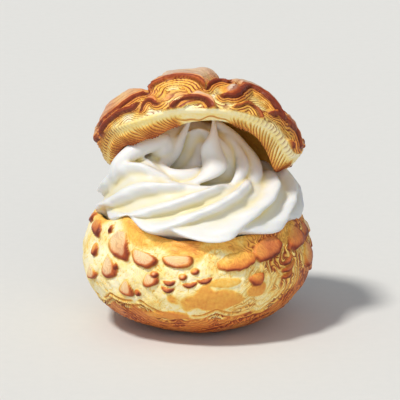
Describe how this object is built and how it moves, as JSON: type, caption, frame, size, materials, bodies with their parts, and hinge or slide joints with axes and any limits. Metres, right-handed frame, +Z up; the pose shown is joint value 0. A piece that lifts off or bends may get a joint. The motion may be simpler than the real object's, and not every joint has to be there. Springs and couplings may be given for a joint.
{
  "type": "cream puff",
  "caption": "Round choux bun split across, piped full of whipped cream in a two-tipped swirl, with its browned flaky lid set on at a tilt.",
  "frame": {"origin": "on the surface the bun stands on, at the middle of the object's box seen from above", "axes": "+Z up through the bun; -Y is the front, the side on which the lid is tilted up and the cream shows; +X is to the right seen from the front"},
  "size_m": [0.0848, 0.0853, 0.0963],
  "materials": {
    "choux_crumb": "baked choux pastry: pale crumb yellow with browned chips, satin",
    "choux_crust": "browned choux crust, flaky, satin",
    "cream": "soft whipped cream, smooth with a faint sheen"
  },
  "bodies": {
    "root": {"choux_base": "choux_crumb", "choux_cap": "choux_crust", "whipped_cream": "cream"}
  },
  "joints": []
}
